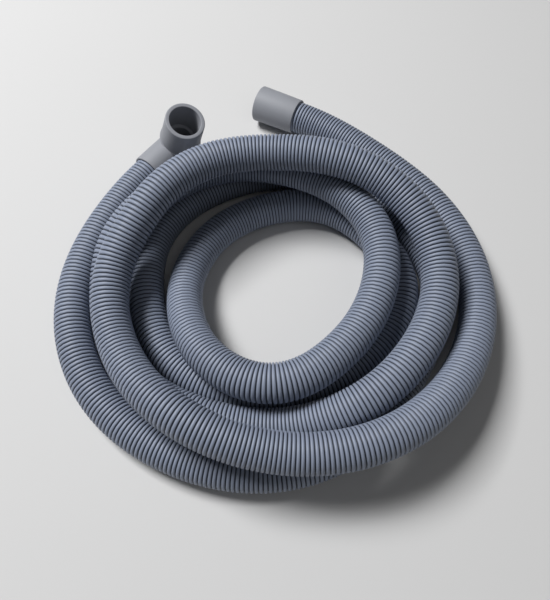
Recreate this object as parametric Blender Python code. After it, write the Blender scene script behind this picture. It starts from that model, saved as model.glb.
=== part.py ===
"""Washing machine drain hose: a loosely coiled corrugated hose with a moulded elbow cuff and a straight cuff.

Everything is in metres with +Z up. The hose lies on the surface z = 0 as it was put down: a little under
five turns that cross and ride on each other. Its ribs are part of the looks, so here it is a plain tube.
"""
import math

import bmesh
import bpy
import numpy as np
from mathutils import Vector

MM = 0.001

# The hose.
HOSE_DIAMETER = 25.0 * MM
HOSE_SIDES_SETTING = 4
POINTS_PER_TURN = 16
CLEARANCE = 0.3 * MM

# The way the hose lies, chosen by hand from the photograph. Each station is the angle round the coil in
# degrees, the distance of the hose's centre line from the coil's centre in mm, and how far that centre
# line is lifted above its place on the floor in mm.
ROUTE_STATIONS = (
    (120, 151, 3), (150, 142, 1), (180, 143, 0), (210, 141, 0), (240, 133, 0), (270, 127, 0),
    (300, 118, 0), (330, 109, 0), (360, 117, 0), (390, 113, 0), (420, 109, 0), (450, 105, 0),
    (480, 102, 0), (510, 100, 0), (540, 92, 0), (570, 89, 0), (600, 84, 0), (630, 79, 0),
    (660, 79, 0), (690, 83, 0), (720, 90, 0), (750, 87, 0), (780, 82, 0), (810, 72, 0),
    (840, 66, 0), (870, 63, 1), (900, 63, 5), (930, 67, 15), (960, 76, 26), (990, 81, 31),
    (1020, 73, 30), (1050, 69, 28), (1080, 72, 27), (1110, 79, 26), (1140, 84, 26), (1170, 91, 25),
    (1200, 101, 26), (1230, 108, 27), (1245, 116, 19), (1260, 118, 7), (1275, 117, 2), (1290, 115, 2),
    (1320, 108, 12), (1350, 103, 11), (1380, 105, 24), (1410, 107, 28), (1440, 110, 29), (1470, 102, 42),
    (1500, 87, 52), (1530, 83, 50), (1560, 88, 50), (1590, 93, 49), (1605, 98, 43), (1620, 106, 34),
    (1650, 113, 29), (1680, 117, 37), (1710, 122, 31), (1740, 131, 30), (1770, 137, 18), (1800, 142, 5),
    (1830, 144, 0), (1860, 148, 1), (1890, 173, 3),
)
ELBOW_END_ANGLE = 135.3
STRAIGHT_END_ANGLE = 1882.2
STRAIGHT_LEAD = 4.0 * MM

# Both cuffs grip the hose in a socket and take a spigot in their mouth.
SOCKET_RADIUS = HOSE_DIAMETER / 2 + CLEARANCE
SOCKET_DEPTH = 15.0 * MM
SLEEVE_WALL = 1.2 * MM
SLEEVE_RADIUS = SOCKET_RADIUS + SLEEVE_WALL
MOUTH_BORE = 24.0 * MM
MOUTH_WALL = 2.6 * MM
COLLAR_WALL = 3.1 * MM
MOUTH_RADIUS = MOUTH_BORE / 2 + MOUTH_WALL
PASSAGE_RADIUS = 9.8 * MM
EDGE_ROUNDING = 0.9 * MM
BORE_LEAD_IN = 0.5 * MM
SLEEVE_ROUNDING = 0.5 * MM

# The straight cuff.
STRAIGHT_CUFF_LENGTH = 36.0 * MM
STRAIGHT_SEAT = 3.0 * MM
STRAIGHT_TAPER = 0.3 * MM

# The elbow cuff: its leg takes the hose, its collar stands square to the leg and is a little wider.
ELBOW_LEG_LENGTH = 35.0 * MM
ELBOW_MOUTH_HEIGHT = 39.5 * MM
ELBOW_ROLL = math.radians(21.7)
LEG_TAPER = 0.3 * MM
LEG_RADIUS = SLEEVE_RADIUS + LEG_TAPER
NECK_INSET = 0.3 * MM
LIP_HEIGHT = 12.6 * MM
LIP_THICKNESS = 1.5 * MM
LIP_PROUD = 0.6 * MM
LIP_ROUNDING = 0.4 * MM
COLLAR_BORE = 24.2 * MM
COLLAR_RADIUS = COLLAR_BORE / 2 + COLLAR_WALL
COLLAR_FLARE = 0.5 * MM
NECK_START = 1.0 * MM

# How finely round things are cut.
CUFF_SEGMENTS = 48
HALF_FACET = math.pi / CUFF_SEGMENTS
CORNER_STEPS = 3
BALL_STEPS = 8
SAME_POINT = 0.01 * MM
SHARP_EDGE = math.radians(35)
HEADING_STEP = 0.5

HOSE_COLOUR = (0.235, 0.265, 0.335, 1.0)
CUFF_COLOUR = (0.250, 0.262, 0.285, 1.0)
HOSE_ROUGHNESS = 0.42
CUFF_ROUGHNESS = 0.5


def clear_scene():
    """Remove whatever objects the file holds."""
    for thing in list(bpy.data.objects):
        bpy.data.objects.remove(thing, do_unlink=True)


def plastic(name, colour, roughness):
    """A plain plastic: one colour, no metal."""
    material = bpy.data.materials.new(name)
    material.use_nodes = True
    shader = material.node_tree.nodes["Principled BSDF"]
    shader.inputs["Base Color"].default_value = colour
    shader.inputs["Roughness"].default_value = roughness
    shader.inputs["Metallic"].default_value = 0.0
    return material


def natural_spline(knots, values, at):
    """Cubic curve through all the knots, straight at both ends: the bend of a springy strip."""
    steps = np.diff(knots)
    slopes = np.diff(values) / steps
    count = len(knots)
    system = np.eye(count)
    right = np.zeros(count)
    for i in range(1, count - 1):
        system[i, i - 1] = steps[i - 1]
        system[i, i] = 2 * (steps[i - 1] + steps[i])
        system[i, i + 1] = steps[i]
        right[i] = 6 * (slopes[i] - slopes[i - 1])
    bends = np.linalg.solve(system, right)
    piece = np.clip(np.searchsorted(knots, at, side="right") - 1, 0, count - 2)
    width = steps[piece]
    before = at - knots[piece]
    after = knots[piece + 1] - at
    curved = (bends[piece] * after**3 + bends[piece + 1] * before**3) / (6 * width)
    from_left = (values[piece] / width - bends[piece] * width / 6) * after
    from_right = (values[piece + 1] / width - bends[piece + 1] * width / 6) * before
    return curved + from_left + from_right


def route_at(angles):
    """Centre line of the hose at the given angles round the coil, as rows of x, y, z."""
    stations = np.array(ROUTE_STATIONS, dtype=float)
    radius = natural_spline(stations[:, 0], stations[:, 1], angles) * MM
    lift = natural_spline(stations[:, 0], stations[:, 2], angles) * MM
    turn = np.radians(angles)
    height = np.maximum(lift, 0.0) + HOSE_DIAMETER / 2
    return np.stack([radius * np.cos(turn), radius * np.sin(turn), height], axis=1)


def end_direction(angle, along):
    """Level unit vector in which the hose leaves the route at one end; along is -1 or +1."""
    near = route_at(np.array([angle - along * HEADING_STEP, angle]))
    heading = Vector(near[1] - near[0])
    heading.z = 0.0
    return heading.normalized()


def hose_ends():
    """Where each cuff's sleeve begins, as a level axis: point, direction into the cuff."""
    ends = []
    for angle, along in ((ELBOW_END_ANGLE, -1), (STRAIGHT_END_ANGLE, 1)):
        direction = end_direction(angle, along)
        edge = Vector(route_at(np.array([angle]))[0]) + direction * STRAIGHT_LEAD
        edge.z = max(edge.z, MOUTH_RADIUS)
        ends.append((edge, direction))
    return ends


def hose_points():
    """Points of the hose's centre line, from its end in the elbow cuff to its end in the straight cuff.

    Between the ends the points stand at the same angles in every turn, so turns that lie side by side bend
    side by side and keep their distance.
    """
    step = 360 / POINTS_PER_TURN
    first = math.ceil(ELBOW_END_ANGLE / step)
    last = math.floor(STRAIGHT_END_ANGLE / step)
    angles = [ELBOW_END_ANGLE] + [step * i for i in range(first, last + 1)] + [STRAIGHT_END_ANGLE]
    middle = [Vector(p) for p in route_at(np.array(angles))]
    (elbow_edge, into_elbow), (straight_edge, into_straight) = hose_ends()
    seated = SOCKET_DEPTH - CLEARANCE
    middle[0].z = elbow_edge.z
    middle[-1].z = straight_edge.z
    return [elbow_edge + into_elbow * seated] + middle + [straight_edge + into_straight * seated]


def make_hose(parent, material):
    """The hose as a plain round tube along its route; its ends sit in the cuffs' sockets."""
    curve = bpy.data.curves.new("corrugated_hose", "CURVE")
    curve.dimensions = "3D"
    curve.bevel_depth = HOSE_DIAMETER / 2
    curve.bevel_resolution = HOSE_SIDES_SETTING
    curve.use_fill_caps = True
    curve.twist_mode = "Z_UP"
    points = hose_points()
    spline = curve.splines.new("POLY")
    spline.points.add(len(points) - 1)
    for place, point in zip(spline.points, points):
        place.co = (point.x, point.y, point.z, 1.0)
    curve.materials.append(material)
    hose = bpy.data.objects.new("corrugated_hose", curve)
    hose.parent = parent
    bpy.context.collection.objects.link(hose)
    return hose


def rounded(corners):
    """Outline from corners (along, radius, rounding): each rounded corner becomes a tangent arc."""
    outline = []
    for i, (along, radius, rounding) in enumerate(corners):
        corner = Vector((along, radius))
        if rounding <= 0.0:
            outline.append(corner)
            continue
        to_last = (Vector(corners[i - 1][:2]) - corner).normalized()
        to_next = (Vector(corners[(i + 1) % len(corners)][:2]) - corner).normalized()
        half_angle = to_last.angle(to_next) / 2
        centre = corner + (to_last + to_next).normalized() * (rounding / math.sin(half_angle))
        reach = rounding / math.tan(half_angle)
        start = corner + to_last * reach - centre
        sweep = start.angle_signed(corner + to_next * reach - centre)
        for step in range(CORNER_STEPS + 1):
            turn = -sweep * step / CORNER_STEPS
            turned = Vector((start.x * math.cos(turn) - start.y * math.sin(turn),
                             start.x * math.sin(turn) + start.y * math.cos(turn)))
            outline.append(centre + turned)
    return outline


def ball_end(along, radius):
    """Outline of a ball-shaped end whose centre is at along on the axis."""
    turns = [math.pi / 2 * step / BALL_STEPS for step in range(BALL_STEPS + 1)]
    return [Vector((along + radius * math.sin(t), radius * math.cos(t))) for t in turns]


def turned_piece(name, outline, axis, parent, material, closed=False):
    """Spin an outline of (along, radius) points once round the X or Z axis into one closed body."""
    mesh = bpy.data.meshes.new(name)
    shape = bmesh.new()
    if axis == "X":
        spots = [shape.verts.new((p.x, 0.0, p.y)) for p in outline]
        spin_axis = Vector((1.0, 0.0, 0.0))
    else:
        spots = [shape.verts.new((p.y, 0.0, p.x)) for p in outline]
        spin_axis = Vector((0.0, 0.0, 1.0))
    edges = [shape.edges.new(pair) for pair in zip(spots, spots[1:])]
    if closed:
        edges.append(shape.edges.new((spots[-1], spots[0])))
    bmesh.ops.spin(shape, geom=spots + edges, axis=spin_axis, cent=Vector(), angle=2 * math.pi,
                   steps=CUFF_SEGMENTS, use_merge=True)
    bmesh.ops.remove_doubles(shape, verts=shape.verts, dist=SAME_POINT)
    bmesh.ops.recalc_face_normals(shape, faces=shape.faces)
    shape.to_mesh(mesh)
    shape.free()
    mesh.shade_smooth()
    mesh.set_sharp_from_angle(angle=SHARP_EDGE)
    mesh.materials.append(material)
    piece = bpy.data.objects.new(name, mesh)
    piece.parent = parent
    bpy.context.collection.objects.link(piece)
    return piece


def as_helper(piece):
    """Mark a piece as a tool for a Boolean, not a part of the object."""
    piece.hide_render = True
    piece.display_type = "WIRE"
    return piece


def combine(piece, tool, operation):
    """Add a live Boolean to a piece."""
    step = piece.modifiers.new(tool.name, "BOOLEAN")
    step.operation = operation
    step.solver = "EXACT"
    step.object = tool


def guide(name, parent, location=(0.0, 0.0, 0.0), rotation=(0.0, 0.0, 0.0)):
    """An empty that carries pieces."""
    empty = bpy.data.objects.new(name, None)
    empty.location = location
    empty.rotation_euler = rotation
    empty.parent = parent
    bpy.context.collection.objects.link(empty)
    return empty


def make_straight_cuff(parent, material):
    """A moulded tube: socket for the hose, a seat it stops against, and a wider bore for a spigot."""
    edge, direction = hose_ends()[1]
    carrier = guide("straight_cuff_place", parent, edge, (0.0, 0.0, math.atan2(direction.y, direction.x)))
    seat_end = SOCKET_DEPTH + STRAIGHT_SEAT
    outline = rounded((
        (0.0, SLEEVE_RADIUS, SLEEVE_ROUNDING),
        (SOCKET_DEPTH, MOUTH_RADIUS - STRAIGHT_TAPER, 0.0),
        (STRAIGHT_CUFF_LENGTH, MOUTH_RADIUS, EDGE_ROUNDING),
        (STRAIGHT_CUFF_LENGTH, MOUTH_BORE / 2, BORE_LEAD_IN),
        (seat_end, MOUTH_BORE / 2, 0.0),
        (seat_end, PASSAGE_RADIUS, 0.0),
        (SOCKET_DEPTH, PASSAGE_RADIUS, 0.0),
        (SOCKET_DEPTH, SOCKET_RADIUS, 0.0),
        (0.0, SOCKET_RADIUS, 0.0),
    ))
    return turned_piece("straight_cuff", outline, "X", carrier, material, closed=True)


def elbow_leg_outline():
    """Outer form of the leg: a sleeve over the hose that ends in a ball at the corner."""
    start = rounded(((0.0, 0.0, 0.0), (0.0, SLEEVE_RADIUS, SLEEVE_ROUNDING), (SOCKET_DEPTH, LEG_RADIUS, 0.0)))
    return start + ball_end(ELBOW_LEG_LENGTH, LEG_RADIUS)


def elbow_collar_outline():
    """Outer form of the neck, the lip round the collar's foot and the tapered collar up to its rim."""
    neck = LEG_RADIUS - NECK_INSET
    foot = COLLAR_RADIUS + COLLAR_FLARE
    return rounded((
        (NECK_START, 0.0, 0.0),
        (NECK_START, neck, 0.0),
        (LIP_HEIGHT, neck, 0.0),
        (LIP_HEIGHT, foot + LIP_PROUD, LIP_ROUNDING),
        (LIP_HEIGHT + LIP_THICKNESS, foot + LIP_PROUD, LIP_ROUNDING),
        (LIP_HEIGHT + LIP_THICKNESS, foot, 0.0),
        (ELBOW_MOUTH_HEIGHT, COLLAR_RADIUS, EDGE_ROUNDING),
        (ELBOW_MOUTH_HEIGHT, 0.0, 0.0),
    ))


def elbow_leg_bore_outline():
    """Hollow of the leg: the hose's socket, then the water passage up to a ball at the corner."""
    start = [Vector(p) for p in (
        (-SOCKET_DEPTH, 0.0),
        (-SOCKET_DEPTH, SOCKET_RADIUS),
        (SOCKET_DEPTH, SOCKET_RADIUS),
        (SOCKET_DEPTH, PASSAGE_RADIUS),
    )]
    return start + ball_end(ELBOW_LEG_LENGTH, PASSAGE_RADIUS)


def elbow_mouth_bore_outline():
    """Hollow of the collar: the passage from the corner, a seat, and the bore that takes the spigot."""
    seat = LIP_HEIGHT + LIP_THICKNESS / 2
    over = ELBOW_MOUTH_HEIGHT + SOCKET_DEPTH
    bore = COLLAR_BORE / 2
    return [Vector(p) for p in (
        (NECK_START, 0.0),
        (NECK_START, PASSAGE_RADIUS - NECK_INSET),
        (seat, PASSAGE_RADIUS - NECK_INSET),
        (seat, bore),
        (ELBOW_MOUTH_HEIGHT - BORE_LEAD_IN, bore),
        (ELBOW_MOUTH_HEIGHT + BORE_LEAD_IN, bore + 2 * BORE_LEAD_IN),
        (over, bore + 2 * BORE_LEAD_IN),
        (over, 0.0),
    )]


def make_elbow_cuff(parent, material):
    """The moulded elbow: leg and collar joined, then hollowed by their two bores.

    Local X runs from the hose into the leg and local Z up the collar. The whole elbow is rolled round its
    leg, so the mouth leans outwards as it does when the hose is put down. The collar's form and the leg's
    bore are turned by half a facet, so that no edge of one form runs along an edge of the form it cuts.
    """
    edge, direction = hose_ends()[0]
    turn = (ELBOW_ROLL, 0.0, math.atan2(direction.y, direction.x))
    carrier = guide("elbow_cuff_place", parent, edge, turn)
    corner = guide("elbow_corner", carrier, (ELBOW_LEG_LENGTH, 0.0, 0.0))
    elbow = turned_piece("elbow_cuff", elbow_leg_outline(), "X", carrier, material)
    collar = as_helper(turned_piece("elbow_collar_form", elbow_collar_outline(), "Z", corner, material))
    leg_bore = as_helper(turned_piece("elbow_leg_bore", elbow_leg_bore_outline(), "X", carrier, material))
    mouth_bore = as_helper(turned_piece("elbow_mouth_bore", elbow_mouth_bore_outline(), "Z", corner, material))
    collar.rotation_euler.z = HALF_FACET
    leg_bore.rotation_euler.x = HALF_FACET
    combine(elbow, collar, "UNION")
    combine(elbow, leg_bore, "DIFFERENCE")
    combine(elbow, mouth_bore, "DIFFERENCE")
    return elbow


def stand_on_origin(centre, pieces):
    """Move the whole object so that the middle of its box's underside is the origin."""
    bpy.context.view_layer.update()
    graph = bpy.context.evaluated_depsgraph_get()
    corners = []
    for piece in pieces:
        shown = piece.evaluated_get(graph)
        mesh = shown.to_mesh()
        corners += [shown.matrix_world @ v.co for v in mesh.vertices]
        shown.to_mesh_clear()
    low = [min(c[i] for c in corners) for i in range(3)]
    high = [max(c[i] for c in corners) for i in range(3)]
    centre.location = (-(low[0] + high[0]) / 2, -(low[1] + high[1]) / 2, -low[2])
    bpy.context.view_layer.update()


def build():
    """Make the whole drain hose."""
    clear_scene()
    hose_plastic = plastic("hose_plastic", HOSE_COLOUR, HOSE_ROUGHNESS)
    cuff_plastic = plastic("cuff_plastic", CUFF_COLOUR, CUFF_ROUGHNESS)
    centre = guide("drain_hose", None)
    pieces = [
        make_hose(centre, hose_plastic),
        make_elbow_cuff(centre, cuff_plastic),
        make_straight_cuff(centre, cuff_plastic),
    ]
    stand_on_origin(centre, pieces)


build()
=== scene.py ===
# %% [markdown]
# # A washing machine drain hose
#
# The object is one flexible corrugated tube, thrown down in a loose coil, with a moulded cuff on each end.
# The solid model already says where everything lies and how big it is. This file gives it its looks: more
# than a thousand ribs, two moulded cuffs, their plastics, a camera, a floor and soft light.

# %% Load the solid model as a fixed frame
import math

import bmesh
import bpy
import numpy as np
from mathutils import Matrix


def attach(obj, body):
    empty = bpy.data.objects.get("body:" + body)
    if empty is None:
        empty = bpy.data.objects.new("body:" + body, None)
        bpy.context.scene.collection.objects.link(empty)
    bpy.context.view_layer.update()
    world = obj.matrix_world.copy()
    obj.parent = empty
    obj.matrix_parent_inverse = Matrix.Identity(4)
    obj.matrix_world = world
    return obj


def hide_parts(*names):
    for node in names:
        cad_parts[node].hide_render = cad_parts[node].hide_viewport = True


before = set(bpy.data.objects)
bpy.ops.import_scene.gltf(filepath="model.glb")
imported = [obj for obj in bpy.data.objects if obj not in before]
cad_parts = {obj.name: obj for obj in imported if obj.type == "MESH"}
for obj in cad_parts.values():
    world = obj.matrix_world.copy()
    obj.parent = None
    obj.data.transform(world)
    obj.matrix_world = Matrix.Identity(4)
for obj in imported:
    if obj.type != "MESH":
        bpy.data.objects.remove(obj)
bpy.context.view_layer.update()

MM = 0.001

# %% [markdown]
# ## The camera
#
# The photograph was taken from close by: the near side of the coil is clearly thicker in the picture than the
# far side. A camera that is too far away would flatten that. The height, the tilt and the focal length were
# found from how the hose's width changes across the picture, so they are plain values here.

# %% Camera
IMAGE_WIDTH = 550
IMAGE_HEIGHT = 600
FOCAL_PIXELS = 560.0
SENSOR = 36.0
CAMERA_ELEVATION = math.radians(62.5)
CAMERA_PLACE = (0.5 * MM, -219.7 * MM, 365.4 * MM)


def add_camera():
    """A camera that looks down at its elevation angle, level from side to side."""
    data = bpy.data.cameras.new("camera")
    data.lens = FOCAL_PIXELS * SENSOR / max(IMAGE_WIDTH, IMAGE_HEIGHT)
    data.sensor_width = SENSOR
    data.clip_start = 10 * MM
    data.clip_end = 20.0
    camera = bpy.data.objects.new("camera", data)
    camera.location = CAMERA_PLACE
    camera.rotation_euler = (math.pi / 2 - CAMERA_ELEVATION, 0.0, 0.0)
    bpy.context.scene.collection.objects.link(camera)
    bpy.context.scene.camera = camera
    print("camera lens in mm:", round(data.lens, 2))


add_camera()

# %% [markdown]
# ## The way the hose lies
#
# A hose is a centre line first. These are the same stations as in the solid model: the angle round the coil,
# the distance from its centre and the lift off the floor. They began as points read from the photograph. A
# calculation carried them through the camera and moved turns apart where they ran into each other, and the
# results were rounded to whole millimetres. About half were set afterwards, for a turn that is mostly hidden
# and for what lies on it. A natural cubic spline goes through them, which is the curve that a springy strip
# takes when it is held at those points.

# %% Stations of the centre line
HOSE_DIAMETER = 25.0 * MM
ROUTE_STATIONS = (
    (120, 151, 3), (150, 142, 1), (180, 143, 0), (210, 141, 0), (240, 133, 0), (270, 127, 0),
    (300, 118, 0), (330, 109, 0), (360, 117, 0), (390, 113, 0), (420, 109, 0), (450, 105, 0),
    (480, 102, 0), (510, 100, 0), (540, 92, 0), (570, 89, 0), (600, 84, 0), (630, 79, 0),
    (660, 79, 0), (690, 83, 0), (720, 90, 0), (750, 87, 0), (780, 82, 0), (810, 72, 0),
    (840, 66, 0), (870, 63, 1), (900, 63, 5), (930, 67, 15), (960, 76, 26), (990, 81, 31),
    (1020, 73, 30), (1050, 69, 28), (1080, 72, 27), (1110, 79, 26), (1140, 84, 26), (1170, 91, 25),
    (1200, 101, 26), (1230, 108, 27), (1245, 116, 19), (1260, 118, 7), (1275, 117, 2), (1290, 115, 2),
    (1320, 108, 12), (1350, 103, 11), (1380, 105, 24), (1410, 107, 28), (1440, 110, 29), (1470, 102, 42),
    (1500, 87, 52), (1530, 83, 50), (1560, 88, 50), (1590, 93, 49), (1605, 98, 43), (1620, 106, 34),
    (1650, 113, 29), (1680, 117, 37), (1710, 122, 31), (1740, 131, 30), (1770, 137, 18), (1800, 142, 5),
    (1830, 144, 0), (1860, 148, 1), (1890, 173, 3),
)
ELBOW_END_ANGLE = 135.3
STRAIGHT_END_ANGLE = 1882.2
STRAIGHT_LEAD = 4.0 * MM
SOCKET_DEPTH = 15.0 * MM
CLEARANCE = 0.3 * MM
MOUTH_RADIUS = 14.6 * MM
HEADING_STEP = 0.5


def natural_spline(knots, values, at):
    """Cubic curve through all the knots.

    Between two knots the curve is the straight line between them plus two cubics that carry the bend, the
    second derivative, of each knot. The bends are the solution of one linear system, which asks for the same
    slope on both sides of each knot and for a curve that is straight at both ends.
    """
    steps = np.diff(knots)
    slopes = np.diff(values) / steps
    count = len(knots)
    inner = np.arange(1, count - 1)
    system = np.eye(count)
    system[inner, inner - 1] = steps[:-1]
    system[inner, inner] = 2 * (steps[:-1] + steps[1:])
    system[inner, inner + 1] = steps[1:]
    right = np.zeros(count)
    right[1:-1] = 6 * np.diff(slopes)
    bends = np.linalg.solve(system, right)
    piece = np.clip(np.searchsorted(knots, at, side="right") - 1, 0, count - 2)
    width = steps[piece]
    before = at - knots[piece]
    after = knots[piece + 1] - at
    curved = (bends[piece] * after**3 + bends[piece + 1] * before**3) / (6 * width)
    from_left = (values[piece] / width - bends[piece] * width / 6) * after
    from_right = (values[piece + 1] / width - bends[piece + 1] * width / 6) * before
    return curved + from_left + from_right


def route_at(angles):
    """Centre line at the given angles: radius times (cosine, sine), and half a hose plus the lift for z."""
    stations = np.array(ROUTE_STATIONS, dtype=float)
    radius = natural_spline(stations[:, 0], stations[:, 1], angles) * MM
    lift = natural_spline(stations[:, 0], stations[:, 2], angles) * MM
    turn = np.radians(angles)
    height = np.maximum(lift, 0.0) + HOSE_DIAMETER / 2
    return np.stack([radius * np.cos(turn), radius * np.sin(turn), height], axis=1)


print("stations:", len(ROUTE_STATIONS), "turns:", round((STRAIGHT_END_ANGLE - ELBOW_END_ANGLE) / 360, 2))

# %% [markdown]
# The hose runs straight inside a cuff and for a few millimetres before it, and both cuffs lie level. So each
# cuff takes the hose's level direction at that end of the route, and its edge is raised, where that is
# needed, to keep the cuff out of the floor.

# %% Where each cuff begins
def unit(vectors):
    """The same directions with length one."""
    return vectors / np.linalg.norm(vectors, axis=-1, keepdims=True)


def cuff_edge(angle, along):
    """A cuff's sleeve edge on the centre line, and the level direction from the hose into the cuff."""
    near = route_at(np.array([angle - along * HEADING_STEP, angle]))
    heading = (near[1] - near[0]) * (1.0, 1.0, 0.0)
    direction = unit(heading)
    edge = near[1] + direction * STRAIGHT_LEAD
    edge[2] = max(edge[2], MOUTH_RADIUS)
    return edge, direction


elbow_edge, into_elbow = cuff_edge(ELBOW_END_ANGLE, -1)
straight_edge, into_straight = cuff_edge(STRAIGHT_END_ANGLE, 1)
print("level directions into the cuffs:", into_elbow.round(3), into_straight.round(3))

# %% [markdown]
# The solid model was moved after it was laid out, so that the middle of its underside is the origin. The
# same move is made here.
#
# Ribs are spaced by the distance along the hose, not by the angle, so the centre line is measured first and
# can then be read at any distance: many short steps are added up, and the running sum is turned round by
# linear interpolation.

# %% Centre line by distance
HOSE_MOVE = np.array((0.507 * MM, -27.475 * MM, 0.0))
FINE_STEPS = 12000
END_BLEND_STEPS = 200


def fine_centre_line():
    """Closely spaced points from the hose's end in the elbow to its end in the straight cuff.

    Over the first and last steps the height runs into the cuff's by the smooth step 3 f^2 - 2 f^3.
    """
    seated = SOCKET_DEPTH - CLEARANCE
    middle = route_at(np.linspace(ELBOW_END_ANGLE, STRAIGHT_END_ANGLE, FINE_STEPS))
    fade = np.linspace(1.0, 0.0, END_BLEND_STEPS)
    fade = fade * fade * (3 - 2 * fade)
    middle[:len(fade), 2] += (elbow_edge[2] - middle[0, 2]) * fade
    middle[-len(fade):, 2] += (straight_edge[2] - middle[-1, 2]) * fade[::-1]
    first = elbow_edge + into_elbow * seated
    last = straight_edge + into_straight * seated
    return np.vstack([first, middle, last]) + HOSE_MOVE


def by_distance(points, distances):
    """Points of a polyline at the given distances along it."""
    pieces = np.linalg.norm(np.diff(points, axis=0), axis=1)
    travelled = np.concatenate([[0.0], np.cumsum(pieces)])
    return np.stack([np.interp(distances, travelled, points[:, i]) for i in range(3)], axis=1)


centre_line = fine_centre_line()
hose_length = float(np.linalg.norm(np.diff(centre_line, axis=0), axis=1).sum())
elbow_edge = elbow_edge + HOSE_MOVE
straight_edge = straight_edge + HOSE_MOVE
print("hose length in mm:", round(hose_length / MM, 1))

# %% [markdown]
# ## Turning grids into meshes
#
# Every new surface here is a grid: rows of points along it, columns round it. A few helpers turn any grid
# into a mesh, so the shapes themselves stay short formulas.

# %% Grid helpers
def grid_faces(rows, columns, wrap_rows=False):
    """Quads of a grid whose columns close into a ring; its rows close too when wrap_rows is true."""
    last = rows if wrap_rows else rows - 1
    row = np.arange(last)[:, None]
    column = np.arange(columns)[None, :]
    next_row = (row + 1) % rows
    next_column = (column + 1) % columns
    corners = [row * columns + column, row * columns + next_column,
               next_row * columns + next_column, next_row * columns + column]
    return np.stack([np.broadcast_to(c, (last, columns)) for c in corners], axis=-1).reshape(-1, 4)


def mesh_object(name, points, faces):
    """An object at the origin whose mesh has these points and faces, shaded smooth."""
    mesh = bpy.data.meshes.new(name)
    mesh.from_pydata(points.reshape(-1, 3), [], faces.tolist())
    mesh.validate()
    mesh.shade_smooth()
    piece = bpy.data.objects.new(name, mesh)
    bpy.context.scene.collection.objects.link(piece)
    return piece


def add_uv(piece, along, around):
    """UV map from one value of each kind per vertex: metres along the piece, metres round it."""
    mesh = piece.data
    corner = np.empty(len(mesh.loops), dtype=np.int32)
    mesh.loops.foreach_get("vertex_index", corner)
    layer = mesh.uv_layers.new(name="along_around")
    layer.data.foreach_set("uv", np.stack([along[corner], around[corner]], axis=1).ravel().astype(np.float32))


def add_mask(piece, name, values):
    """A value from 0 to 1 on every vertex, for the material to read."""
    attribute = piece.data.attributes.new(name, "FLOAT", "POINT")
    attribute.data.foreach_set("value", values.ravel().astype(np.float32))


# %% [markdown]
# ## The corrugated hose
#
# The real hose is a thin polypropylene wall blown into broad ribs with narrow, deep grooves between them. One
# way is a tube with a bump map, but the ribs also make the outline, so they are modelled. A rib takes five
# rings of points: one in the groove, one two thirds of the way up each side and one at each edge of the
# crest. Inside runs a second, smooth wall, so the hose is a true tube at both ends.

# %% Hose surface
RIB_PITCH = 2.84 * MM
RIB_STRETCH = 0.08
RIB_PHASES = np.array((0.0, 0.13, 0.25, 0.75, 0.87))
RING_SIDES = 16
GROOVE_DEPTH = 1.5 * MM
GROOVE_SHARPNESS = 6.0
HOSE_BORE_RADIUS = 9.8 * MM
RIBS_PER_INNER_RING = 6
HEADING_REACH = 1.0 * MM


def rib_radius(phase):
    """Radius of the ribbed skin, and how near it is to a crest, at a phase that grows by one from rib to rib.

    The crest's radius, less the groove's depth times the squared cosine of the phase raised to the groove's
    sharpness: broad flat crests, narrow grooves.
    """
    groove = (np.cos(np.pi * phase) ** 2) ** GROOVE_SHARPNESS
    return HOSE_DIAMETER / 2 - GROOVE_DEPTH * groove, 1.0 - groove


def ribs_passed():
    """How many ribs lie before each point of the fine centre line, and that point's distance.

    The pitch is its mean times 1 + stretch * cosine of twice the angle round the coil: the ribs stand wider
    apart on the coil's two sides than at its near and far ends. One rib is passed for each pitch travelled.
    """
    from_centre = centre_line - HOSE_MOVE
    turn = np.arctan2(from_centre[:, 1], from_centre[:, 0])
    pitch = RIB_PITCH * (1.0 + RIB_STRETCH * np.cos(2 * turn))
    pieces = np.linalg.norm(np.diff(centre_line, axis=0), axis=1)
    passed = np.concatenate([[0.0], np.cumsum(pieces / pitch[1:])])
    return passed, np.concatenate([[0.0], np.cumsum(pieces)])


def ring_grid(distances, radii):
    """Rings round the centre line: centre + radius * (cosine * side + sine * up), square to the line."""
    centres = by_distance(centre_line, distances)
    ahead = by_distance(centre_line, np.minimum(distances + HEADING_REACH, hose_length))
    behind = by_distance(centre_line, np.maximum(distances - HEADING_REACH, 0.0))
    forward = unit(ahead - behind)
    side = unit(np.cross(forward, (0.0, 0.0, 1.0)))
    up = np.cross(side, forward)
    turn = np.linspace(0.0, 2 * np.pi, RING_SIDES, endpoint=False)
    spoke = np.cos(turn)[None, :, None] * side[:, None, :] + np.sin(turn)[None, :, None] * up[:, None, :]
    return centres[:, None, :] + radii[:, None, None] * spoke, centres, turn


def make_hose():
    """The ribbed skin and the smooth bore as one closed surface that turns over at both ends."""
    passed, travelled = ribs_passed()
    ribs = round(passed[-1])
    phase = np.append((np.arange(ribs)[:, None] + RIB_PHASES).ravel(), ribs)
    outer_at = np.interp(phase * passed[-1] / ribs, passed, travelled)
    outer_radius, crest = rib_radius(phase)
    outer, centres, turn = ring_grid(outer_at, outer_radius)
    inner_at = np.linspace(hose_length, 0.0, ribs // RIBS_PER_INNER_RING)
    inner, _, _ = ring_grid(inner_at, np.full(len(inner_at), HOSE_BORE_RADIUS))
    points = np.concatenate([outer, inner])
    hose = mesh_object("corrugated_hose_skin", points, grid_faces(len(points), RING_SIDES, wrap_rows=True))
    along = np.repeat(np.concatenate([outer_at, inner_at]), RING_SIDES)
    around = np.tile(turn * HOSE_DIAMETER / 2, len(points))
    add_uv(hose, along, around)
    # The crest value also tells the material where to paint shade into the grooves.
    add_mask(hose, "rib_crest", np.repeat(np.concatenate([crest, np.zeros(len(inner_at))]), RING_SIDES))
    print("ribs:", ribs, "faces:", len(hose.data.polygons))
    return hose, centres[::len(RIB_PHASES)]


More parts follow.
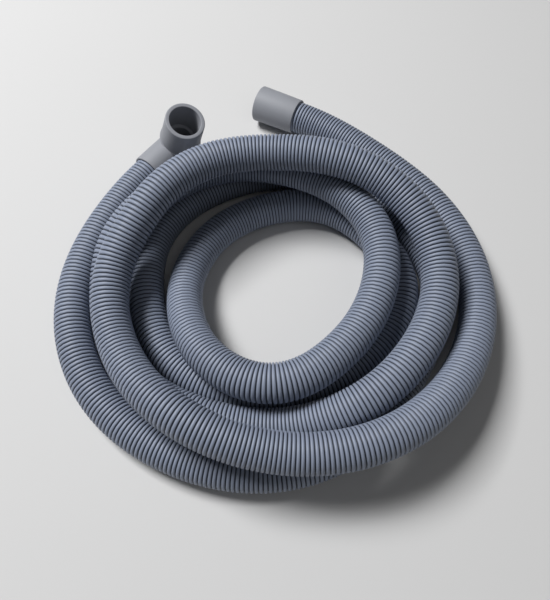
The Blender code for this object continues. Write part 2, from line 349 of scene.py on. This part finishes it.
hose, hose_path = make_hose()

# %% [markdown]
# ## The cuffs' outlines
#
# A moulded cuff is mostly turned shapes: draw half of its section, then carry it round an axis. What makes it
# look moulded is that no edge is perfectly sharp, so each corner of the outline can be given a rounding.

# %% Outline and turning helpers
ARC_STEPS = 6
CUFF_SIDES = 96
SAME_POINT = 0.002 * MM
SHARP_EDGE = math.radians(35)


def rounded(corners):
    """Outline through (along, radius, rounding) corners; a rounded corner becomes a tangent arc.

    The arc's centre lies on the corner's bisector at rounding / sin(half the corner's angle). The arc is the
    unit spoke from the centre to the first tangent point, turned step by step to the second one.
    """
    outline = []
    for i, (along, radius, rounding) in enumerate(corners):
        corner = np.array((along, radius))
        if rounding <= 0.0:
            outline.append(corner[None, :])
            continue
        back = unit(np.array(corners[i - 1][:2]) - corner)
        on = unit(np.array(corners[(i + 1) % len(corners)][:2]) - corner)
        half = math.acos(float(back @ on)) / 2
        centre = corner + unit(back + on) * rounding / math.sin(half)
        reach = rounding / math.tan(half)
        first, last = corner + back * reach - centre, corner + on * reach - centre
        sweep = math.atan2(first[0] * last[1] - first[1] * last[0], float(first @ last))
        turn = np.linspace(0.0, sweep, ARC_STEPS + 1)
        outline.append(centre + np.stack([first[0] * np.cos(turn) - first[1] * np.sin(turn),
                                          first[0] * np.sin(turn) + first[1] * np.cos(turn)], axis=1))
    return np.concatenate(outline)


def tidy_surface(piece):
    """Merge points that fall together at a pole, turn all faces outwards and keep the real edges sharp."""
    shape = bmesh.new()
    shape.from_mesh(piece.data)
    bmesh.ops.remove_doubles(shape, verts=shape.verts, dist=SAME_POINT)
    bmesh.ops.recalc_face_normals(shape, faces=shape.faces)
    shape.to_mesh(piece.data)
    shape.free()
    piece.data.shade_smooth()
    piece.data.set_sharp_from_angle(angle=SHARP_EDGE)


def turned_surface(name, outline, centre, axis, spoke, closed=False):
    """Carry an outline once round an axis.

    A point is centre + along * axis + radius * (cosine * spoke + sine * other).
    """
    other = np.cross(axis, spoke)
    turn = np.linspace(0.0, 2 * np.pi, CUFF_SIDES, endpoint=False)
    ring = np.cos(turn)[:, None] * spoke + np.sin(turn)[:, None] * other
    points = centre + outline[:, 0, None, None] * axis + outline[:, 1, None, None] * ring[None]
    piece = mesh_object(name, points, grid_faces(len(outline), CUFF_SIDES, wrap_rows=closed))
    tidy_surface(piece)
    return piece


# %% [markdown]
# ## The straight cuff
#
# It grips the hose in a socket. Past the seat that the hose stops against, the bore widens for the spigot.
# Its outside grows by a hair towards the mouth. One closed outline, turned round the cuff's axis, is enough.

# %% Straight cuff
SOCKET_RADIUS = HOSE_DIAMETER / 2 + CLEARANCE
SLEEVE_RADIUS = SOCKET_RADIUS + 1.2 * MM
MOUTH_BORE_RADIUS = 12.0 * MM
PASSAGE_RADIUS = 9.8 * MM
SLEEVE_ROUNDING = 0.5 * MM
RIM_ROUNDING = 0.9 * MM
BORE_ROUNDING = 0.5 * MM
STRAIGHT_CUFF_LENGTH = 36.0 * MM
STRAIGHT_SEAT = 3.0 * MM
STRAIGHT_TAPER = 0.3 * MM
UP = np.array((0.0, 0.0, 1.0))


def make_straight_cuff():
    """Socket, seat, spigot bore and outside as one turned outline."""
    seat_end = SOCKET_DEPTH + STRAIGHT_SEAT
    outline = rounded((
        (0.0, SLEEVE_RADIUS, SLEEVE_ROUNDING),
        (SOCKET_DEPTH, MOUTH_RADIUS - STRAIGHT_TAPER, 0.0),
        (STRAIGHT_CUFF_LENGTH, MOUTH_RADIUS, RIM_ROUNDING),
        (STRAIGHT_CUFF_LENGTH, MOUTH_BORE_RADIUS, BORE_ROUNDING),
        (seat_end, MOUTH_BORE_RADIUS, 0.0),
        (seat_end, PASSAGE_RADIUS, 0.0),
        (SOCKET_DEPTH, PASSAGE_RADIUS, 0.0),
        (SOCKET_DEPTH, SOCKET_RADIUS, 0.0),
        (0.0, SOCKET_RADIUS, 0.0),
    ))
    return turned_surface("straight_cuff_skin", outline, straight_edge, into_straight, UP, closed=True)


straight_cuff = make_straight_cuff()
print("straight cuff faces:", len(straight_cuff.data.polygons))

# %% [markdown]
# ## The elbow cuff
#
# The elbow is two turned forms that meet square: a leg over the hose, which ends in a ball at the corner, and
# a tapered collar with a thin lip round its foot. Two more turned forms, the hollow of the leg and the hollow
# of the collar, are taken away. Exact Booleans keep the crease between them crisp, as a mould does. The
# elbow lies rolled over a little, so its mouth leans in over the coil.

# %% Elbow cuff
ELBOW_LEG_LENGTH = 35.0 * MM
ELBOW_MOUTH_HEIGHT = 39.5 * MM
ELBOW_ROLL = math.radians(21.7)
LEG_RADIUS = SLEEVE_RADIUS + 0.3 * MM
NECK_INSET = 0.3 * MM
NECK_START = 1.0 * MM
LIP_HEIGHT = 12.6 * MM
LIP_THICKNESS = 1.5 * MM
LIP_PROUD = 0.6 * MM
LIP_ROUNDING = 0.4 * MM
COLLAR_BORE_RADIUS = 12.1 * MM
COLLAR_RADIUS = COLLAR_BORE_RADIUS + 3.1 * MM
COLLAR_FLARE = 0.5 * MM
BALL_STEPS = 16


def ball_end(along, radius):
    """Quarter circle that closes a form in a ball: along + radius * sine, radius * cosine."""
    turn = np.linspace(0.0, np.pi / 2, BALL_STEPS + 1)
    return np.stack([along + radius * np.sin(turn), radius * np.cos(turn)], axis=1)


def leg_outline():
    """Outside of the leg, from the middle of its open end to the tip of the ball."""
    start = rounded(((0.0, 0.0, 0.0), (0.0, SLEEVE_RADIUS, SLEEVE_ROUNDING), (SOCKET_DEPTH, LEG_RADIUS, 0.0)))
    return np.concatenate([start, ball_end(ELBOW_LEG_LENGTH, LEG_RADIUS)])


def collar_outline():
    """Outside of the neck, the lip and the tapered collar up to its rim."""
    neck = LEG_RADIUS - NECK_INSET
    foot = COLLAR_RADIUS + COLLAR_FLARE
    return rounded((
        (NECK_START, 0.0, 0.0),
        (NECK_START, neck, 0.0),
        (LIP_HEIGHT, neck, 0.0),
        (LIP_HEIGHT, foot + LIP_PROUD, LIP_ROUNDING),
        (LIP_HEIGHT + LIP_THICKNESS, foot + LIP_PROUD, LIP_ROUNDING),
        (LIP_HEIGHT + LIP_THICKNESS, foot, 0.0),
        (ELBOW_MOUTH_HEIGHT, COLLAR_RADIUS, RIM_ROUNDING),
        (ELBOW_MOUTH_HEIGHT, 0.0, 0.0),
    ))


def leg_hollow():
    """The hose's socket, then the water passage up to a ball at the corner."""
    start = np.array((
        (-SOCKET_DEPTH, 0.0),
        (-SOCKET_DEPTH, SOCKET_RADIUS),
        (SOCKET_DEPTH, SOCKET_RADIUS),
        (SOCKET_DEPTH, PASSAGE_RADIUS),
    ))
    return np.concatenate([start, ball_end(ELBOW_LEG_LENGTH, PASSAGE_RADIUS)])


def collar_hollow():
    """The passage up from the corner, the seat, and the spigot's bore with a rounded way in."""
    passage = PASSAGE_RADIUS - NECK_INSET
    seat = LIP_HEIGHT + LIP_THICKNESS / 2
    wide = COLLAR_BORE_RADIUS + SOCKET_DEPTH
    return rounded((
        (NECK_START, 0.0, 0.0),
        (NECK_START, passage, 0.0),
        (seat, passage, 0.0),
        (seat, COLLAR_BORE_RADIUS, 0.0),
        (ELBOW_MOUTH_HEIGHT, COLLAR_BORE_RADIUS, BORE_ROUNDING),
        (ELBOW_MOUTH_HEIGHT, wide, 0.0),
        (ELBOW_MOUTH_HEIGHT + SOCKET_DEPTH, wide, 0.0),
        (ELBOW_MOUTH_HEIGHT + SOCKET_DEPTH, 0.0, 0.0),
    ))


def combined(piece, steps):
    """Apply exact Booleans in turn and remove the forms they used."""
    for form, operation in steps:
        step = piece.modifiers.new(form.name, "BOOLEAN")
        step.operation = operation
        step.solver = "EXACT"
        step.object = form
    graph = bpy.context.evaluated_depsgraph_get()
    graph.update()
    result = bpy.data.meshes.new_from_object(piece.evaluated_get(graph))
    piece.modifiers.clear()
    piece.data = result
    for form, _ in steps:
        bpy.data.objects.remove(form, do_unlink=True)
    tidy_surface(piece)
    return piece


def make_elbow_cuff():
    """Leg and collar joined, then hollowed; the half-facet turns keep edges from falling on each other."""
    level = np.cross(UP, into_elbow)
    collar_up = math.cos(ELBOW_ROLL) * UP - math.sin(ELBOW_ROLL) * level
    corner = elbow_edge + into_elbow * ELBOW_LEG_LENGTH
    half_facet = np.pi / CUFF_SIDES
    turned_up = math.cos(half_facet) * collar_up + math.sin(half_facet) * np.cross(into_elbow, collar_up)
    turned_on = math.cos(half_facet) * into_elbow + math.sin(half_facet) * np.cross(collar_up, into_elbow)
    leg = turned_surface("elbow_cuff_skin", leg_outline(), elbow_edge, into_elbow, collar_up)
    collar = turned_surface("collar_form", collar_outline(), corner, collar_up, turned_on)
    leg_bore = turned_surface("leg_hollow", leg_hollow(), elbow_edge, into_elbow, turned_up)
    collar_bore = turned_surface("collar_hollow", collar_hollow(), corner, collar_up, into_elbow)
    steps = ((collar, "UNION"), (leg_bore, "DIFFERENCE"), (collar_bore, "DIFFERENCE"))
    return combined(leg, steps)


elbow_cuff = make_elbow_cuff()
print("elbow cuff faces:", len(elbow_cuff.data.polygons))

# %% [markdown]
# ## The new pieces in place of the solids
#
# Each new surface stands in for the solid of the same name, which is hidden, and rides on the one body.

for piece, node, finish in ((hose, "corrugated_hose", "hose_plastic"),
                            (elbow_cuff, "elbow_cuff", "cuff_plastic"),
                            (straight_cuff, "straight_cuff", "cuff_plastic")):
    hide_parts(node)
    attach(piece, "root")
    print(piece.name, "stands in for", node, "and takes", finish)

# %% [markdown]
# ## The plastics
#
# Both plastics are grey with a little blue, dull rather than shiny. Up close, moulded polypropylene has a
# fine grain, a faint cloudiness where it cooled, and small differences in gloss. All three come from one node
# group, used by both materials with their own values, because the effect is the same and only its scale and
# strength differ.

# %% Shader group: moulded skin
def moulded_skin_group():
    """Shade is 1 plus a share of a slow noise; roughness is its mean plus a share of the same noise.

    Grain is a fine noise for a bump. A scale is the number of noise features in a metre.
    """
    group = bpy.data.node_groups.new("moulded skin", "ShaderNodeTree")
    for name, value in (("Cloud Scale", 30.0), ("Cloud Amount", 0.1), ("Grain Scale", 1500.0),
                        ("Mean Roughness", 0.45), ("Roughness Spread", 0.08)):
        group.interface.new_socket(name, in_out="INPUT", socket_type="NodeSocketFloat").default_value = value
    for name in ("Shade", "Roughness", "Grain"):
        group.interface.new_socket(name, in_out="OUTPUT", socket_type="NodeSocketFloat")
    nodes, links = group.nodes, group.links
    inputs = nodes.new("NodeGroupInput")
    outputs = nodes.new("NodeGroupOutput")
    place = nodes.new("ShaderNodeTexCoord")
    cloud = nodes.new("ShaderNodeTexNoise")
    cloud.inputs["Detail"].default_value = 3.0
    grain = nodes.new("ShaderNodeTexNoise")
    grain.inputs["Detail"].default_value = 2.0
    for noise, scale in ((cloud, "Cloud Scale"), (grain, "Grain Scale")):
        links.new(place.outputs["Object"], noise.inputs["Vector"])
        links.new(inputs.outputs[scale], noise.inputs["Scale"])
    centred = math_node(group, "SUBTRACT", cloud.outputs["Fac"], 0.5)
    swing = math_node(group, "MULTIPLY", centred, inputs.outputs["Cloud Amount"])
    links.new(math_node(group, "ADD", swing, 1.0), outputs.inputs["Shade"])
    uneven = math_node(group, "MULTIPLY", centred, inputs.outputs["Roughness Spread"])
    links.new(math_node(group, "ADD", uneven, inputs.outputs["Mean Roughness"]), outputs.inputs["Roughness"])
    links.new(grain.outputs["Fac"], outputs.inputs["Grain"])
    return group


def math_node(tree, operation, first, second):
    """One Math node; each input is a socket to link or a plain number. Returns its output."""
    node = tree.nodes.new("ShaderNodeMath")
    node.operation = operation
    for socket, value in zip(node.inputs, (first, second)):
        if isinstance(value, bpy.types.NodeSocket):
            tree.links.new(value, socket)
        else:
            socket.default_value = value
    return node.outputs[0]


moulded_skin = moulded_skin_group()
print("moulded skin's sockets:", [socket.name for socket in moulded_skin.interface.items_tree])

# %% Helpers for materials
GRAIN_DEPTH = 0.05 * MM


def new_plastic(name):
    """A material with its Principled shader and the moulded skin placed in it."""
    material = bpy.data.materials.new(name)
    material.use_nodes = True
    tree = material.node_tree
    skin = tree.nodes.new("ShaderNodeGroup")
    skin.node_tree = moulded_skin
    return material, tree, tree.nodes["Principled BSDF"], skin


def scaled_colour(tree, colour, shade):
    """A colour times a value that changes over the surface."""
    scale = tree.nodes.new("ShaderNodeVectorMath")
    scale.operation = "SCALE"
    if isinstance(colour, bpy.types.NodeSocket):
        tree.links.new(colour, scale.inputs[0])
    else:
        scale.inputs[0].default_value = colour
    tree.links.new(shade, scale.inputs["Scale"])
    return scale.outputs[0]


def add_grain(tree, shader, height, strength):
    """A bump from a height value, at most the grain's depth times the strength."""
    bump = tree.nodes.new("ShaderNodeBump")
    bump.inputs["Strength"].default_value = strength
    bump.inputs["Distance"].default_value = GRAIN_DEPTH
    tree.links.new(height, bump.inputs["Height"])
    tree.links.new(bump.outputs["Normal"], shader.inputs["Normal"])


# %% [markdown]
# The hose's ribs look pale and the grooves between them almost black. Part of that is shade, which the
# modelled ribs give by themselves. The rest is painted shade: a darker colour down in the groove, mixed in by
# the value that the mesh carries on each point, so it follows the ribs wherever the hose bends.

# %% Hose plastic
CREST_COLOUR = (0.224, 0.258, 0.338)
# Painted shade: the grooves' colour stands for the light that hardly reaches down between the ribs.
GROOVE_PAINTED_SHADE = (0.022, 0.027, 0.038)
GROOVE_ENDS = 0.3
CREST_STARTS = 0.95
HOSE_GRAIN = 0.3


def hose_plastic():
    """Blue-grey crests, and grooves painted darker as shade, since light hardly reaches down into them."""
    material, tree, shader, skin = new_plastic("hose plastic")
    skin.inputs["Cloud Scale"].default_value = 22.0
    skin.inputs["Cloud Amount"].default_value = 0.16
    skin.inputs["Grain Scale"].default_value = 1800.0
    skin.inputs["Mean Roughness"].default_value = 0.54
    skin.inputs["Roughness Spread"].default_value = 0.12
    crest = tree.nodes.new("ShaderNodeAttribute")
    crest.attribute_name = "rib_crest"
    edge = tree.nodes.new("ShaderNodeMapRange")
    edge.interpolation_type = "SMOOTHSTEP"
    edge.inputs["From Min"].default_value = GROOVE_ENDS
    edge.inputs["From Max"].default_value = CREST_STARTS
    tree.links.new(crest.outputs["Fac"], edge.inputs["Value"])
    # Painted shade: the dark groove colour is mixed in where the crest value falls towards the groove.
    mix = tree.nodes.new("ShaderNodeMix")
    mix.data_type = "RGBA"
    mix.inputs["A"].default_value = (*GROOVE_PAINTED_SHADE, 1.0)
    mix.inputs["B"].default_value = (*CREST_COLOUR, 1.0)
    tree.links.new(edge.outputs["Result"], mix.inputs["Factor"])
    colour = scaled_colour(tree, mix.outputs["Result"], skin.outputs["Shade"])
    tree.links.new(colour, shader.inputs["Base Color"])
    tree.links.new(skin.outputs["Roughness"], shader.inputs["Roughness"])
    add_grain(tree, shader, skin.outputs["Grain"], HOSE_GRAIN)
    return material


hose.data.materials.append(hose_plastic())
print("hose finish:", hose.data.materials[0].name, "with crests of", CREST_COLOUR)

# %% [markdown]
# The cuffs are made in a smooth mould. They have no ribs to shade them, so a plain colour would look dead.
# The same faint cloudiness and fine grain as on the hose carry the surface, with values of their own.

# %% Cuff plastic
CUFF_COLOUR = (0.258, 0.268, 0.296)
CUFF_GRAIN = 0.25


def cuff_plastic():
    """A plainer, softer grey with a duller skin than the hose."""
    material, tree, shader, skin = new_plastic("cuff plastic")
    skin.inputs["Cloud Scale"].default_value = 45.0
    skin.inputs["Cloud Amount"].default_value = 0.10
    skin.inputs["Grain Scale"].default_value = 1400.0
    skin.inputs["Mean Roughness"].default_value = 0.6
    skin.inputs["Roughness Spread"].default_value = 0.10
    tree.links.new(scaled_colour(tree, CUFF_COLOUR, skin.outputs["Shade"]), shader.inputs["Base Color"])
    tree.links.new(skin.outputs["Roughness"], shader.inputs["Roughness"])
    add_grain(tree, shader, skin.outputs["Grain"], CUFF_GRAIN)
    return material


cuff_finish = cuff_plastic()
for cuff in (elbow_cuff, straight_cuff):
    cuff.data.materials.clear()
    cuff.data.materials.append(cuff_finish)
print("cuff finish:", cuff_finish.name, "of", CUFF_COLOUR)

# %% [markdown]
# ## Floor and light
#
# A plain pale floor, a wide soft lamp from the upper left, a weak one from the right, and an even pale
# surrounding. The lamps are kept low, so a lit colour comes out only a little lighter than it is written.
# They don't reach far, so the floor would end in a dark horizon. It fades out well away from the hose
# instead, and behind it stands a backdrop that only the camera sees, so it puts no light on the hose.

# %% Floor
FLOOR_SIZE = 8.0
FLOOR_COLOUR = (0.60, 0.60, 0.60, 1.0)
FLOOR_ROUGHNESS = 0.9
FADE_STARTS = 0.55
FADE_ENDS = 1.5


def pale_floor():
    """Dull pale grey that turns clear between the fade's start and its end, by distance from the middle."""
    material = bpy.data.materials.new("pale floor")
    material.use_nodes = True
    nodes, links = material.node_tree.nodes, material.node_tree.links
    shader = nodes["Principled BSDF"]
    shader.inputs["Base Color"].default_value = FLOOR_COLOUR
    shader.inputs["Roughness"].default_value = FLOOR_ROUGHNESS
    place = nodes.new("ShaderNodeTexCoord")
    distance = nodes.new("ShaderNodeVectorMath")
    distance.operation = "LENGTH"
    links.new(place.outputs["Object"], distance.inputs[0])
    fade = nodes.new("ShaderNodeMapRange")
    fade.interpolation_type = "SMOOTHSTEP"
    fade.inputs["From Min"].default_value = FADE_STARTS
    fade.inputs["From Max"].default_value = FADE_ENDS
    links.new(distance.outputs["Value"], fade.inputs["Value"])
    mix = nodes.new("ShaderNodeMixShader")
    links.new(fade.outputs["Result"], mix.inputs[0])
    links.new(shader.outputs["BSDF"], mix.inputs[1])
    links.new(nodes.new("ShaderNodeBsdfTransparent").outputs["BSDF"], mix.inputs[2])
    links.new(mix.outputs["Shader"], nodes["Material Output"].inputs["Surface"])
    return material


def add_floor():
    """One large square just under the hose."""
    half = FLOOR_SIZE / 2
    points = np.array(((-half, -half, 0.0), (half, -half, 0.0), (half, half, 0.0), (-half, half, 0.0)))
    floor = mesh_object("floor", points - UP * SAME_POINT, np.array(((0, 1, 2, 3),)))
    floor.data.materials.append(pale_floor())


add_floor()
print("floor fades between", FADE_STARTS, "and", FADE_ENDS, "m from the middle")

# %% Light
KEY_PLACE = (-1.08, 0.62, 1.88)
KEY_SIZE = 0.8
KEY_POWER = 63.0
FILL_PLACE = (0.9, -1.1, 1.9)
FILL_SIZE = 1.6
FILL_POWER = 4.0


def add_lamp(name, place, size, power):
    """A square soft lamp that faces the middle of the coil."""
    data = bpy.data.lights.new(name, "AREA")
    data.shape = "SQUARE"
    data.size = size
    data.energy = power
    lamp = bpy.data.objects.new(name, data)
    place = np.array(place)
    lamp.location = place
    aim = unit(-place)
    lamp.rotation_euler = (math.acos(-aim[2]), 0.0, math.atan2(aim[0], -aim[1]) + math.pi)
    bpy.context.scene.collection.objects.link(lamp)
    return lamp


add_lamp("key", KEY_PLACE, KEY_SIZE, KEY_POWER)
add_lamp("fill", FILL_PLACE, FILL_SIZE, FILL_POWER)
print("lamps in watts:", KEY_POWER, FILL_POWER)

# %% Surrounding
SURROUNDING_LIGHT = 0.075
BACKDROP_LIGHT = 0.66


def add_surrounding():
    """An even white world: weak where it lights the hose, pale where the camera looks past everything."""
    world = bpy.data.worlds.new("studio")
    bpy.context.scene.world = world
    world.use_nodes = True
    nodes, links = world.node_tree.nodes, world.node_tree.links
    background = nodes["Background"]
    background.inputs["Color"].default_value = (1.0, 1.0, 1.0, 1.0)
    light_path = nodes.new("ShaderNodeLightPath")
    strength = nodes.new("ShaderNodeMapRange")
    strength.inputs["To Min"].default_value = SURROUNDING_LIGHT
    strength.inputs["To Max"].default_value = BACKDROP_LIGHT
    links.new(light_path.outputs["Is Camera Ray"], strength.inputs["Value"])
    links.new(strength.outputs["Result"], background.inputs["Strength"])


add_surrounding()
bpy.context.scene.view_settings.view_transform = "Standard"
